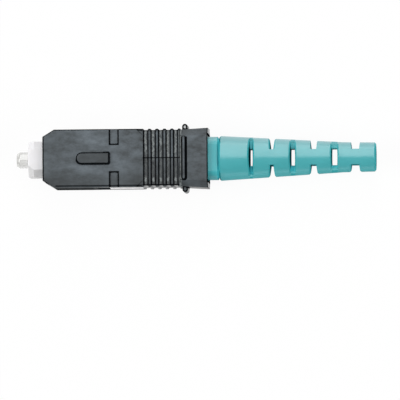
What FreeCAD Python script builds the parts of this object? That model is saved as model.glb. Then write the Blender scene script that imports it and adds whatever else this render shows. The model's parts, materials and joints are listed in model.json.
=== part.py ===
"""SC fibre connector: sliding housing, plug frame, sprung ferrule and slotted strain relief boot.

Every piece is drawn in one local frame: X runs along the fibre from the housing's front face to
the boot, Y across the broad faces and Z up through the key. The connector lies on its broad face.
"""
import FreeCAD, Part
import os
from math import atan2, pi

import Sketcher
from FreeCAD import Placement, Rotation, Vector

# Driving sizes in millimetres, or plain counts.
SIZES = {
    # outer housing
    "housing_length": 25.4,
    "housing_width": 8.95,
    "housing_height": 7.35,
    "housing_edge_round": 0.25,
    "taper_length": 1.8,
    "taper_depth": 1.1,
    "key_start": 5.2,
    "key_length": 5.1,
    "key_width": 1.75,
    "key_height": 0.7,
    "key_front_round": 0.84,
    "key_edge_bevel": 0.15,
    "notch_start": 10.3,
    "notch_length": 1.4,
    "notch_reach": 2.4,
    "notch_depth": 0.3,
    "window_start": 8.2,
    "window_length": 7.2,
    "window_height": 5.0,
    "window_corner": 0.25,
    "front_edge_round": 0.18,
    "grip_ramp_start": 14.6,
    "grip_start": 15.45,
    "grip_bevel": 0.34,
    "groove_first": 15.92,
    "groove_pitch": 1.15,
    "groove_count": 5,
    "groove_floor": 0.5,
    "groove_draft": 0.17,
    "groove_depth": 0.3,
    "side_groove_depth": 0.2,
    "collar_start": 21.2,
    "stop_bar_middle": 21.73,
    "stop_bar_width": 0.55,
    "stop_bar_span": 6.65,
    "ear_middle": 21.86,
    "ear_width": 0.85,
    "ear_reach": 0.78,
    "ear_height": 4.4,
    "stop_bevel": 0.12,
    "collar_drop": 0.2,
    "collar_bevel": 1.0,
    "collar_flare": 0.12,
    "cavity_width": 7.0,
    "cavity_height": 5.7,
    "cavity_corner": 0.5,
    "channel_width": 7.7,
    "channel_height": 3.6,
    # plug frame
    "nose_reach": 2.32,
    "nose_width": 5.5,
    "nose_height": 5.4,
    "nose_bevel": 1.15,
    "nose_front_bevel": 1.9,
    "nose_lead": 0.9,
    "nose_round": 0.25,
    "block_start": 9.9,
    "block_end": 21.0,
    "shoulder_inset": 0.03,
    "shoulder_ramp": 0.3,
    "catch_start": 6.2,
    "catch_ramp": 1.3,
    "catch_land": 0.5,
    "catch_height": 0.55,
    "catch_span": 3.2,
    "socket_diameter": 4.2,
    "socket_lead": 0.25,
    "seat_start": 2.6,
    "seat_thickness": 1.0,
    "seat_hole": 3.7,
    "barrel_bore": 4.6,
    # ferrule, its flange and the fibre's guide tube
    "ferrule_diameter": 2.5,
    "ferrule_reach": 4.15,
    "ferrule_length": 10.5,
    "tip_chamfer_length": 0.45,
    "tip_chamfer_depth": 0.3,
    "tip_round": 0.18,
    "fibre_bore": 0.126,
    "funnel_length": 1.0,
    "funnel_diameter": 0.9,
    "lock_groove_width": 0.8,
    "lock_groove_depth": 0.2,
    "flange_diameter": 4.3,
    "flange_thickness": 2.0,
    "flange_key_width": 0.8,
    "flange_key_depth": 0.4,
    "hub_diameter": 3.2,
    "hub_end": 11.5,
    "tube_diameter": 1.5,
    "tube_bore": 1.0,
    "tube_end": 16.5,
    # spring
    "wire_diameter": 0.42,
    "coil_diameter": 3.75,
    "coil_turns": 6,
    "coil_pieces": 12,
    # back post and crimp sleeve
    "post_start": 14.0,
    "post_bore": 2.2,
    "barb_start": 16.6,
    "barb_length": 1.8,
    "barb_span": 2.2,
    "barb_reach": 0.6,
    "post_collar_diameter": 5.3,
    "post_collar_thickness": 1.0,
    "crimp_barrel_diameter": 3.5,
    "crimp_barrel_end": 29.8,
    "crimp_groove_first": 24.2,
    "crimp_groove_pitch": 2.0,
    "crimp_groove_count": 2,
    "crimp_groove_width": 0.4,
    "crimp_groove_depth": 0.18,
    "sleeve_diameter": 4.4,
    "sleeve_wall": 0.25,
    "sleeve_start": 23.0,
    "sleeve_length": 7.6,
    # boot
    "neck_width": 6.5,
    "neck_height": 5.5,
    "neck_corner": 1.2,
    "neck_end": 26.85,
    "neck_groove_width": 0.25,
    "neck_groove_depth": 0.25,
    "boot_front_diameter": 6.9,
    "boot_waist": 46.1,
    "boot_waist_diameter": 4.65,
    "boot_tail_diameter": 4.5,
    "boot_end": 51.15,
    "boot_edge": 0.22,
    "boot_socket_end": 31.2,
    "boot_bore": 3.6,
    "exit_diameter": 3.2,
    "exit_land": 2.3,
    "slot_first": 32.0,
    "slot_pitch": 3.2,
    "broad_slot_floor": 0.38,
    "broad_slot_growth": 0.22,
    "side_slot_floor": 0.5,
    "side_slot_growth": 0.35,
    "slot_draft": 0.42,
    "slot_bevel": 0.18,
    "broad_web": 2.54,
    "side_web": 2.36,
    # clearances
    "slide_gap": 0.1,
    "mouth_gap": 0.15,
    "bore_gap": 0.05,
    "bond_gap": 0.01,
    "seat_gap": 0.02,
}
SLOT_COUNT = 6
WIRE_SIDES = 8
OVERCUT = "1"

# Places along the fibre that several pieces share.
WINDOW_END = "(size.window_start + size.window_length)"
SEAT_END = "(size.seat_start + size.seat_thickness)"
FLANGE_START = f"({SEAT_END} + size.seat_gap)"
FLANGE_END = f"({FLANGE_START} + size.flange_thickness)"
FERRULE_END = "(size.ferrule_length - size.ferrule_reach)"
LOCK_START = f"({FLANGE_START} - size.bond_gap)"
LOCK_END = f"({LOCK_START} + size.lock_groove_width)"
POST_COLLAR_END = "(size.block_end + size.post_collar_thickness)"
BOOT_START = "(size.neck_end + size.neck_groove_width)"
EXIT_START = "(size.boot_end - size.exit_land)"

document = FreeCAD.newDocument("sc_connector")
sheet = document.addObject("Spreadsheet::Sheet", "size")
for row, (alias, number) in enumerate(SIZES.items(), 1):
    sheet.set(f"A{row}", alias)
    sheet.set(f"B{row}", str(number))
    sheet.setAlias(f"B{row}", alias)
document.recompute()


def value(formula):
    """The number that a formula over the sheet stands for now."""
    return float(sheet.evalExpression(formula))


def new_piece(label):
    """A body in the shared local frame, lying on the housing's lower broad face."""
    body = document.addObject("PartDesign::Body", label)
    body.Label = label
    body.setExpression("Placement.Base.x", "(size.ferrule_reach - size.boot_end) / 2")
    body.setExpression("Placement.Base.z", "size.housing_height / 2")
    return body


def origin_part(body, role):
    return next(part for part in body.Origin.OriginFeatures if part.Role == role)


def new_sketch(body, name, plane, offset="0"):
    """A sketch on one of the body's own origin planes, moved along the plane's normal."""
    sketch = body.newObject("Sketcher::SketchObject", name)
    sketch.AttachmentSupport = (origin_part(body, plane), [""])
    sketch.MapMode = "FlatFace"
    sketch.setExpression("AttachmentOffset.Base.z", offset)
    return sketch


def pin(sketch, item, point, x, y):
    """Tie a point of the sketch to the origin by two formulas."""
    for kind, formula in (("DistanceX", x), ("DistanceY", y)):
        tie = Sketcher.Constraint(kind, -1, 1, item, point, value(formula))
        sketch.setExpression(f"Constraints[{sketch.addConstraint(tie)}]", formula)


def polygon(sketch, corners):
    """A closed outline of straight lines through corners given as formulas."""
    first = sketch.GeometryCount
    points = [Vector(value(x), value(y), 0) for x, y in corners]
    following = points[1:] + points[:1]
    for start, end in zip(points, following):
        sketch.addGeometry(Part.LineSegment(start, end), False)
    for index, (x, y) in enumerate(corners):
        after = first + (index + 1) % len(corners)
        sketch.addConstraint(Sketcher.Constraint("Coincident", first + index, 2, after, 1))
        pin(sketch, first + index, 1, x, y)


def mirrored_polygon(sketch, half):
    """An outline that is the same on both sides of the sketch's first axis."""
    polygon(sketch, half + [(x, f"-({y})") for x, y in reversed(half)])


def rectangle(sketch, x0, y0, x1, y1):
    polygon(sketch, [(x0, y0), (x1, y0), (x1, y1), (x0, y1)])


def belt(sketch, centres, radius):
    """A closed outline that runs like a belt round equal corner circles, counter-clockwise."""
    size = value(radius)
    points = [Vector(value(x), value(y), 0) for x, y in centres]
    count = len(points)
    outward = []
    for start, end in zip(points, points[1:] + points[:1]):
        along = (end - start).normalize()
        outward.append(Vector(along.y, -along.x, 0))
    for index, centre in enumerate(points):
        ahead = outward[index]
        before = outward[index - 1]
        start_angle = atan2(before.y, before.x)
        end_angle = atan2(ahead.y, ahead.x)
        if end_angle <= start_angle:
            end_angle += 2 * pi
        circle = Part.Circle(centre, Vector(0, 0, 1), size)
        sketch.addGeometry(Part.ArcOfCircle(circle, start_angle, end_angle), False)
        next_centre = points[(index + 1) % count]
        run = Part.LineSegment(centre + ahead * size, next_centre + ahead * size)
        sketch.addGeometry(run, False)
    for index, (x, y) in enumerate(centres):
        arc = 2 * index
        next_arc = 2 * ((index + 1) % count)
        sketch.addConstraint(Sketcher.Constraint("Tangent", arc, 2, arc + 1, 1))
        sketch.addConstraint(Sketcher.Constraint("Tangent", arc + 1, 2, next_arc, 1))
        pin(sketch, arc, 3, x, y)
        tie = Sketcher.Constraint("Radius", arc, size)
        sketch.setExpression(f"Constraints[{sketch.addConstraint(tie)}]", radius)


def rounded_rectangle(sketch, x0, y0, x1, y1, corner):
    left = f"{x0} + {corner}"
    right = f"{x1} - {corner}"
    low = f"{y0} + {corner}"
    high = f"{y1} - {corner}"
    belt(sketch, [(left, low), (right, low), (right, high), (left, high)], corner)


def centred_rectangle(sketch, width, height, corner):
    """A rounded rectangle about the fibre's axis."""
    rounded_rectangle(sketch, f"-{width} / 2", f"-{height} / 2", f"{width} / 2", f"{height} / 2", corner)


def bevelled_rectangle(sketch, width, height, bevel):
    """A rectangle about the fibre's axis with its corners cut at 45 degrees."""
    side = f"{width} / 2"
    top = f"{height} / 2"
    flat_y = f"({side} - {bevel})"
    flat_z = f"({top} - {bevel})"
    polygon(sketch, [
        (f"-{flat_y}", f"-{top}"), (flat_y, f"-{top}"),
        (side, f"-{flat_z}"), (side, flat_z),
        (flat_y, top), (f"-{flat_y}", top),
        (f"-{side}", flat_z), (f"-{side}", f"-{flat_z}"),
    ])


def bar(sketch, middle, span, width):
    """A bar across the sketch's first axis with round ends."""
    end = f"({span} - {width}) / 2"
    belt(sketch, [(middle, end), (middle, f"-({end})")], f"{width} / 2")


def settle(feature):
    """Recompute, and stop if the feature failed."""
    document.recompute()
    if "Up-to-date" not in feature.State or feature.Shape.isNull():
        raise RuntimeError(f"{feature.Name}: {feature.State}")
    return feature


def pad(body, sketch, length, symmetric=False):
    feature = body.newObject("PartDesign::Pad", f"{sketch.Name}_pad")
    feature.Profile = sketch
    feature.SideType = "Symmetric" if symmetric else "One side"
    feature.setExpression("Length", length)
    return settle(feature)


def cut_made(body, feature, before):
    """A cut must have taken something away."""
    settle(feature)
    if feature.Shape.Volume > before - 1e-6:
        raise RuntimeError(f"{feature.Name} cuts nothing from {body.Label}")
    return feature


def pocket(body, sketch, length, symmetric=False):
    """Cut along the sketch's normal, or both ways from it."""
    before = body.Tip.Shape.Volume
    feature = body.newObject("PartDesign::Pocket", f"{sketch.Name}_pocket")
    feature.Profile = sketch
    feature.SideType = "Symmetric" if symmetric else "One side"
    feature.Reversed = not symmetric
    feature.setExpression("Length", length)
    return cut_made(body, feature, before)


def revolve(body, sketch):
    feature = body.newObject("PartDesign::Revolution", f"{sketch.Name}_turned")
    feature.Profile = sketch
    feature.ReferenceAxis = (origin_part(body, "X_Axis"), [""])
    feature.Angle = 360
    return settle(feature)


def loft(body, sketches):
    """A solid drawn straight from the first outline to the last."""
    feature = body.newObject("PartDesign::AdditiveLoft", f"{sketches[0].Name}_loft")
    feature.Profile = sketches[0]
    feature.Sections = sketches[1:]
    feature.Ruled = True
    return settle(feature)


def groove(body, sketch):
    before = body.Tip.Shape.Volume
    feature = body.newObject("PartDesign::Groove", f"{sketch.Name}_groove")
    feature.Profile = sketch
    feature.ReferenceAxis = (origin_part(body, "X_Axis"), [""])
    feature.Angle = 360
    return cut_made(body, feature, before)


def repeat(body, feature, pitch, count):
    """Copies of a feature along the fibre."""
    pattern = body.newObject("PartDesign::LinearPattern", f"{feature.Name}_row")
    pattern.Originals = [feature]
    pattern.Direction = (origin_part(body, "X_Axis"), [""])
    pattern.setExpression("Length", f"{pitch} * ({count} - 1)")
    pattern.setExpression("Occurrences", count)
    body.Tip = pattern
    return settle(pattern)


def mirror(body, feature, plane):
    copy = body.newObject("PartDesign::Mirrored", f"{feature.Name}_mirrored")
    copy.Originals = [feature]
    copy.MirrorPlane = (origin_part(body, plane), [""])
    body.Tip = copy
    return settle(copy)


def ease_edges(body, kind, name, size, wanted):
    """Fillet or chamfer the edges of the piece so far that a test on their box picks out."""
    base = body.Tip
    names = [f"Edge{i}" for i, edge in enumerate(base.Shape.Edges, 1) if wanted(edge.BoundBox)]
    if not names:
        raise RuntimeError(f"no edges for {name}")
    feature = body.newObject(f"PartDesign::{kind}", name)
    feature.Base = (base, names)
    feature.setExpression("Radius" if kind == "Fillet" else "Size", size)
    return settle(feature)


def near(number, formula):
    return abs(number - value(formula)) < 1e-4


def make_outer_housing():
    body = new_piece("outer_housing")
    side = "size.housing_width / 2"
    broad = "size.housing_height / 2"

    front = new_sketch(body, "front_body", "YZ_Plane")
    centred_rectangle(front, "size.housing_width", "size.housing_height", "size.housing_edge_round")
    pad(body, front, "size.grip_ramp_start")
    taper = new_sketch(body, "taper", "XY_Plane")
    for sign in ("", "-"):
        polygon(taper, [
            (f"-{OVERCUT} * size.taper_length", f"{sign}({side} - size.taper_depth * (1 + {OVERCUT}))"),
            ("size.taper_length", f"{sign}{side}"),
            (f"-{OVERCUT} * size.taper_length", f"{sign}{side}"),
        ])
    pocket(body, taper, "size.housing_height * 2", symmetric=True)
    ease_edges(body, "Fillet", "front_edge", "size.front_edge_round", lambda box: (
        box.XMax < value("size.taper_length") - 1e-4))

    ramp_ends = []
    for name, place, bevel in (
            ("ramp_start", "size.grip_ramp_start", "size.housing_edge_round"),
            ("ramp_end", "size.grip_start", "size.grip_bevel")):
        section = new_sketch(body, name, "YZ_Plane", place)
        bevelled_rectangle(section, "size.housing_width", "size.housing_height", bevel)
        ramp_ends.append(section)
    loft(body, ramp_ends)
    grip = new_sketch(body, "grip", "YZ_Plane", "size.grip_start")
    bevelled_rectangle(grip, "size.housing_width", "size.housing_height", "size.grip_bevel")
    pad(body, grip, "size.collar_start - size.grip_start")
    collar_height = "(size.housing_height - 2 * size.collar_drop)"
    collar_ends = []
    for name, place, flare in (
            ("collar_front", "size.collar_start", "-"),
            ("collar_rear", "size.housing_length", "+")):
        section = new_sketch(body, name, "YZ_Plane", place)
        collar_width = f"(size.housing_width {flare} 2 * size.collar_flare)"
        bevelled_rectangle(section, collar_width, collar_height, "size.collar_bevel")
        collar_ends.append(section)
    loft(body, collar_ends)

    for name, plane, face, depth, span in (
            ("broad_groove", "XZ_Plane", broad, "size.groove_depth", "size.housing_width * 2"),
            ("side_groove", "XY_Plane", side, "size.side_groove_depth", "size.housing_height * 2")):
        cut = new_sketch(body, name, plane)
        floor = "size.groove_floor / 2"
        lip = f"({floor} + size.groove_draft * ({depth} + {OVERCUT}) / {depth})"
        for sign in ("", "-"):
            polygon(cut, [
                (f"size.groove_first - {floor}", f"{sign}({face} - {depth})"),
                (f"size.groove_first + {floor}", f"{sign}({face} - {depth})"),
                (f"size.groove_first + {lip}", f"{sign}({face} + {OVERCUT})"),
                (f"size.groove_first - {lip}", f"{sign}({face} + {OVERCUT})"),
            ])
        first_groove = pocket(body, cut, span, symmetric=True)
        repeat(body, first_groove, "size.groove_pitch", "size.groove_count")

    stop_bar = new_sketch(body, "stop_bar", "XY_Plane")
    bar(stop_bar, "size.stop_bar_middle", "size.stop_bar_span", "size.stop_bar_width")
    pad(body, stop_bar, "size.housing_height", symmetric=True)
    ease_edges(body, "Chamfer", "stop_edges", "size.stop_bevel", lambda box: (
        box.XMin > value("size.collar_start") and near(abs(box.ZMin), broad)))
    ears = new_sketch(body, "ears", "XY_Plane")
    ear_span = "(size.housing_width + 2 * size.ear_reach)"
    bar(ears, "size.ear_middle", ear_span, "size.ear_width")
    pad(body, ears, "size.ear_height", symmetric=True)
    ease_edges(body, "Chamfer", "ear_edges", "size.stop_bevel", lambda box: (
        box.ZLength < 1e-4 and near(abs(box.ZMin), "size.ear_height / 2")
        and max(box.YMax, -box.YMin) > value(f"{side} + size.ear_reach / 3")))

    key = new_sketch(body, "key", "XY_Plane")
    rectangle(key, "size.key_start", "-size.key_width / 2",
              "size.key_start + size.key_length", "size.key_width / 2")
    pad(body, key, f"{broad} + size.key_height")
    ease_edges(body, "Fillet", "key_front", "size.key_front_round", lambda box: (
        box.XLength < 0.01 and box.YLength < 0.01 and near(box.XMin, "size.key_start")))
    ease_edges(body, "Chamfer", "key_edges", "size.key_edge_bevel", lambda box: (
        near(box.ZMin, f"{broad} + size.key_height")))

    notch = new_sketch(body, "notch", "XY_Plane", f"{broad} - size.notch_depth")
    notch_end = "size.notch_start + size.notch_length"
    inner = f"{side} - size.notch_reach"
    outer = f"{side} + {OVERCUT}"
    rectangle(notch, "size.notch_start", inner, notch_end, outer)
    rectangle(notch, "size.notch_start", f"-({outer})", notch_end, f"-({inner})")
    mirror(body, pocket(body, notch, f"size.notch_depth + {OVERCUT}"), "XY_Plane")

    mouth = new_sketch(body, "mouth", "YZ_Plane", f"-{OVERCUT}")
    mouth_width = "(size.nose_width + 2 * size.mouth_gap)"
    centred_rectangle(mouth, mouth_width, "size.cavity_height", "size.cavity_corner")
    pocket(body, mouth, f"size.window_start + {OVERCUT}")
    channel = new_sketch(body, "channel", "YZ_Plane", f"-{OVERCUT}")
    centred_rectangle(channel, "size.channel_width", "size.channel_height", "size.cavity_corner")
    pocket(body, channel, f"size.window_start + {OVERCUT}")
    cavity = new_sketch(body, "cavity", "YZ_Plane", "size.window_start")
    centred_rectangle(cavity, "size.cavity_width", "size.cavity_height", "size.cavity_corner")
    pocket(body, cavity, f"size.housing_length - size.window_start + {OVERCUT}")
    window = new_sketch(body, "window", "XZ_Plane")
    rounded_rectangle(window, "size.window_start", "-size.window_height / 2", WINDOW_END,
                      "size.window_height / 2", "size.window_corner")
    pocket(body, window, "size.housing_width * 2", symmetric=True)


def make_plug_frame():
    body = new_piece("plug_frame")
    half_width = "size.nose_width / 2"
    lead_end = "(size.nose_lead - size.nose_reach)"
    lead_ends = []
    for name, place, bevel in (
            ("lead_front", "-size.nose_reach", "size.nose_front_bevel"),
            ("lead_rear", lead_end, "size.nose_bevel")):
        section = new_sketch(body, name, "YZ_Plane", place)
        bevelled_rectangle(section, "size.nose_width", "size.nose_height", bevel)
        lead_ends.append(section)
    loft(body, lead_ends)
    nose = new_sketch(body, "nose", "YZ_Plane", lead_end)
    bevelled_rectangle(nose, "size.nose_width", "size.nose_height", "size.nose_bevel")
    pad(body, nose, f"size.block_start + {OVERCUT} - {lead_end}")
    ease_edges(body, "Fillet", "nose_front", "size.nose_round", lambda box: (
        box.XLength < 0.01 and near(box.XMin, "-size.nose_reach")))

    block = new_sketch(body, "block", "YZ_Plane", "size.block_start")
    block_width = "(size.cavity_width - 2 * size.slide_gap)"
    block_height = "(size.cavity_height - 2 * size.slide_gap)"
    centred_rectangle(block, block_width, block_height, "size.cavity_corner")
    pad(body, block, "size.block_end - size.block_start")

    shoulder = new_sketch(body, "shoulder", "XY_Plane")
    shoulder_out = "size.housing_width / 2 - size.shoulder_inset"
    mirrored_polygon(shoulder, [
        ("size.block_start", f"{block_width} / 2"),
        ("size.block_start + size.shoulder_ramp", shoulder_out),
        (f"{WINDOW_END} - size.slide_gap", shoulder_out),
    ])
    pad(body, shoulder, "size.window_height - 2 * size.slide_gap", symmetric=True)

    catch = new_sketch(body, "catch", "XY_Plane")
    catch_top = "size.catch_start + size.catch_ramp"
    mirrored_polygon(catch, [
        ("size.catch_start", half_width),
        (catch_top, f"{half_width} + size.catch_height"),
        (f"{catch_top} + size.catch_land", f"{half_width} + size.catch_height"),
    ])
    pad(body, catch, "size.catch_span", symmetric=True)

    bore = new_sketch(body, "bore", "XY_Plane")
    socket = "size.socket_diameter / 2"
    seat_hole = "size.seat_hole / 2"
    polygon(bore, [
        (f"-size.nose_reach - {OVERCUT}", "0"),
        (f"-size.nose_reach - {OVERCUT}", f"{socket} + size.socket_lead"),
        ("-size.nose_reach", f"{socket} + size.socket_lead"),
        ("-size.nose_reach + size.socket_lead", socket),
        ("size.seat_start", socket),
        ("size.seat_start", seat_hole),
        (SEAT_END, seat_hole),
        (SEAT_END, "size.barrel_bore / 2"),
        (f"size.block_end + {OVERCUT}", "size.barrel_bore / 2"),
        (f"size.block_end + {OVERCUT}", "0"),
    ])
    groove(body, bore)

    barb_window = new_sketch(body, "barb_window", "XZ_Plane")
    half_span = "(size.barb_span / 2 + size.slide_gap)"
    rectangle(barb_window, "size.barb_start - size.slide_gap", f"-{half_span}",
              "size.barb_start + size.barb_length + size.slide_gap", half_span)
    pocket(body, barb_window, "size.cavity_width * 2", symmetric=True)

    keys = new_sketch(body, "flange_keys", "YZ_Plane", SEAT_END)
    inner = "size.flange_diameter / 2 - size.flange_key_depth + size.bore_gap"
    outer = "size.barrel_bore / 2 + size.bore_gap"
    key_half = "(size.flange_key_width / 2 - size.bore_gap)"
    rectangle(keys, f"-{key_half}", inner, key_half, outer)
    rectangle(keys, f"-{key_half}", f"-({outer})", key_half, f"-({inner})")
    pad(body, keys, "size.flange_thickness")


def make_ferrule():
    body = new_piece("ferrule")
    section = new_sketch(body, "section", "XY_Plane")
    radius = "size.ferrule_diameter / 2"
    bore = "size.fibre_bore / 2"
    polygon(section, [
        ("-size.ferrule_reach", bore),
        ("-size.ferrule_reach", f"{radius} - size.tip_chamfer_depth"),
        ("-size.ferrule_reach + size.tip_chamfer_length", radius),
        (LOCK_START, radius),
        (LOCK_START, f"{radius} - size.lock_groove_depth"),
        (LOCK_END, f"{radius} - size.lock_groove_depth"),
        (LOCK_END, radius),
        (FERRULE_END, radius),
        (FERRULE_END, "size.funnel_diameter / 2"),
        (f"{FERRULE_END} - size.funnel_length", bore),
    ])
    revolve(body, section)
    ease_edges(body, "Fillet", "tip_edge", "size.tip_round", lambda box: (
        box.XLength < 0.01 and near(box.YMax, radius) and box.XMin < value(LOCK_START) - 1))


def make_ferrule_flange():
    body = new_piece("ferrule_flange")
    section = new_sketch(body, "section", "XY_Plane")
    hold = "size.ferrule_diameter / 2 + size.bond_gap"
    bead = f"{hold} - size.lock_groove_depth"
    tube = "size.tube_diameter / 2 + size.bond_gap"
    polygon(section, [
        (FLANGE_START, bead),
        (FLANGE_START, "size.flange_diameter / 2"),
        (FLANGE_END, "size.flange_diameter / 2"),
        (FLANGE_END, "size.hub_diameter / 2"),
        ("size.hub_end", "size.hub_diameter / 2"),
        ("size.hub_end", tube),
        (f"{FERRULE_END} + size.bond_gap", tube),
        (f"{FERRULE_END} + size.bond_gap", hold),
        (f"{LOCK_END} - size.bond_gap", hold),
        (f"{LOCK_END} - size.bond_gap", bead),
    ])
    revolve(body, section)
    keyways = new_sketch(body, "keyways", "YZ_Plane", f"{FLANGE_START} - {OVERCUT}")
    key_half = "size.flange_key_width / 2"
    floor = "size.flange_diameter / 2 - size.flange_key_depth"
    outer = f"size.flange_diameter / 2 + {OVERCUT}"
    rectangle(keyways, f"-{key_half}", floor, key_half, outer)
    rectangle(keyways, f"-{key_half}", f"-({outer})", key_half, f"-({floor})")
    pocket(body, keyways, f"size.flange_thickness + {OVERCUT} + size.bond_gap")


def make_buffer_tube():
    body = new_piece("buffer_tube")
    section = new_sketch(body, "section", "XY_Plane")
    rectangle(section, f"{FERRULE_END} + 2 * size.bond_gap", "size.tube_bore / 2",
              "size.tube_end", "size.tube_diameter / 2")
    revolve(body, section)


def make_spring():
    """A plain coil spring between the flange and the back post, one turn repeated along the fibre."""
    body = new_piece("spring")
    front = f"({FLANGE_END} + size.seat_gap + size.wire_diameter / 2)"
    rear = "(size.post_start - size.seat_gap - size.wire_diameter / 2)"
    pitch = f"(({rear} - {front}) / size.coil_turns)"
    across = "size.coil_diameter / 2"
    radius = "size.wire_diameter / 2"
    wires = []
    for index in range(SIZES["coil_pieces"] + 1):
        turn = f"{index} / size.coil_pieces"
        place = f"{front} + {pitch} * {turn}"
        wire = new_sketch(body, f"wire_{index}", "XY_Plane")
        wire.AttachmentOffset = Placement(Vector(), Rotation(Vector(1, 0, 0), 360 * value(turn)))
        polygon(wire, [
            (f"{place} + {radius} * cos({corner} * 360 deg / {WIRE_SIDES})",
             f"{across} + {radius} * sin({corner} * 360 deg / {WIRE_SIDES})")
            for corner in range(WIRE_SIDES)
        ])
        wires.append(wire)
    repeat(body, loft(body, wires), pitch, "size.coil_turns")


def make_back_post():
    body = new_piece("back_post")
    section = new_sketch(body, "section", "XY_Plane")
    spigot = "size.barrel_bore / 2 - size.bore_gap"
    polygon(section, [
        ("size.post_start", "0"),
        ("size.post_start", spigot),
        ("size.block_end", spigot),
        ("size.block_end", "size.post_collar_diameter / 2"),
        (POST_COLLAR_END, "size.post_collar_diameter / 2"),
        (POST_COLLAR_END, "size.crimp_barrel_diameter / 2"),
        ("size.crimp_barrel_end", "size.crimp_barrel_diameter / 2"),
        ("size.crimp_barrel_end", "0"),
    ])
    revolve(body, section)
    barbs = new_sketch(body, "barbs", "XY_Plane")
    mirrored_polygon(barbs, [
        ("size.barb_start", spigot),
        ("size.barb_start + size.barb_length", f"{spigot} + size.barb_reach"),
    ])
    pad(body, barbs, "size.barb_span", symmetric=True)
    ring = new_sketch(body, "crimp_ring", "XY_Plane")
    barrel = "size.crimp_barrel_diameter / 2"
    rectangle(ring, "size.crimp_groove_first", f"{barrel} - size.crimp_groove_depth",
              "size.crimp_groove_first + size.crimp_groove_width", f"{barrel} + {OVERCUT}")
    repeat(body, groove(body, ring), "size.crimp_groove_pitch", "size.crimp_groove_count")
    bore = new_sketch(body, "bore", "XY_Plane")
    rectangle(bore, f"size.post_start - {OVERCUT}", "0",
              f"size.crimp_barrel_end + {OVERCUT}", "size.post_bore / 2")
    groove(body, bore)


def make_crimp_sleeve():
    body = new_piece("crimp_sleeve")
    section = new_sketch(body, "section", "XY_Plane")
    rectangle(section, "size.sleeve_start", "size.sleeve_diameter / 2 - size.sleeve_wall",
              "size.sleeve_start + size.sleeve_length", "size.sleeve_diameter / 2")
    revolve(body, section)


def make_boot():
    """A moulded boot: square neck in the housing, round tapering tail cut by slots at right angles."""
    body = new_piece("boot")
    neck = new_sketch(body, "neck", "YZ_Plane", POST_COLLAR_END)
    centred_rectangle(neck, "size.neck_width", "size.neck_height", "size.neck_corner")
    pad(body, neck, f"size.neck_end - {POST_COLLAR_END}")
    step = new_sketch(body, "neck_groove", "YZ_Plane", "size.neck_end")
    centred_rectangle(step, "(size.neck_width - 2 * size.neck_groove_depth)",
                      "(size.neck_height - 2 * size.neck_groove_depth)",
                      "(size.neck_corner - size.neck_groove_depth)")
    pad(body, step, "size.neck_groove_width")

    tail = new_sketch(body, "tail", "XY_Plane")
    front = "size.boot_front_diameter / 2"
    rear = "size.boot_tail_diameter / 2"
    polygon(tail, [
        (BOOT_START, "0"),
        (BOOT_START, f"{front} - size.boot_edge"),
        (f"{BOOT_START} + size.boot_edge", front),
        ("size.boot_waist", "size.boot_waist_diameter / 2"),
        ("size.boot_end - size.boot_edge", rear),
        ("size.boot_end", f"{rear} - size.boot_edge"),
        ("size.boot_end", "0"),
    ])
    revolve(body, tail)

    bore = new_sketch(body, "bore", "XY_Plane")
    socket = "size.sleeve_diameter / 2 + size.slide_gap"
    polygon(bore, [
        (f"{POST_COLLAR_END} - {OVERCUT}", "0"),
        (f"{POST_COLLAR_END} - {OVERCUT}", socket),
        ("size.boot_socket_end", socket),
        ("size.boot_socket_end", "size.boot_bore / 2"),
        (EXIT_START, "size.boot_bore / 2"),
        (EXIT_START, "size.exit_diameter / 2"),
        (f"size.boot_end + {OVERCUT}", "size.exit_diameter / 2"),
        (f"size.boot_end + {OVERCUT}", "0"),
    ])
    groove(body, bore)

    outside = f"{front} + {OVERCUT}"
    for index in range(SLOT_COUNT):
        pair = index // 2
        plane, face = ("XY_Plane", "side") if index % 2 else ("XZ_Plane", "broad")
        web = f"size.{face}_web / 2"
        middle = f"size.slot_first + {index} * size.slot_pitch"
        floor = f"(size.{face}_slot_floor + {pair} * size.{face}_slot_growth) / 2"
        spread = f"size.slot_draft / 2 * ({outside} - {web}) / ({front} - {web})"
        slot = new_sketch(body, f"slot_{index + 1}", plane)
        for sign in ("", "-"):
            polygon(slot, [
                (f"{middle} - {floor}", f"{sign}{web}"),
                (f"{middle} + {floor}", f"{sign}{web}"),
                (f"{middle} + {floor} + {spread}", f"{sign}({outside})"),
                (f"{middle} - {floor} - {spread}", f"{sign}({outside})"),
            ])
        pocket(body, slot, "size.boot_front_diameter * 2", symmetric=True)
    ease_edges(body, "Chamfer", "slot_rims", "size.slot_bevel", lambda box: (
        box.XMin > value("size.slot_first - size.slot_pitch / 2") and box.XMax < value(EXIT_START)
        and min(box.YLength, box.ZLength) > value("size.slot_bevel")
        and max(box.YLength, box.ZLength) > value("size.side_web")
        and box.XLength < value("size.slot_draft")
        and max(box.YMax, -box.YMin, box.ZMax, -box.ZMin) > value("size.boot_bore / 2 + size.slot_bevel")))


def write_pieces():
    """Check the whole document, then write one file per piece."""
    document.recompute()
    for item in document.Objects:
        if "Invalid" in item.State or "Error" in item.State:
            raise RuntimeError(f"{item.Name} failed: {item.State}")
    bodies = [item for item in document.Objects if item.TypeId == "PartDesign::Body"]
    for body in bodies:
        if body.Shape.isNull() or not body.Shape.isValid() or len(body.Shape.Solids) != 1:
            raise RuntimeError(f"{body.Label} is not one sound solid")
    os.makedirs("parts", exist_ok=True)
    for body in bodies:
        body.Shape.exportStep(f"parts/{body.Label}.step")
        box = body.Shape.BoundBox
        print(f"{body.Label}: {body.Shape.Volume:.3f} mm3, x {box.XMin:.2f} to {box.XMax:.2f}")


make_outer_housing()
make_plug_frame()
make_ferrule()
make_ferrule_flange()
make_buffer_tube()
make_spring()
make_back_post()
make_crimp_sleeve()
make_boot()
write_pieces()
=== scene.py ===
"""Finishes with fine marks, painted shade lines and painted highlights, studio and camera for a
push-pull fibre connector.
"""

import json
from math import pi, radians, tan

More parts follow.
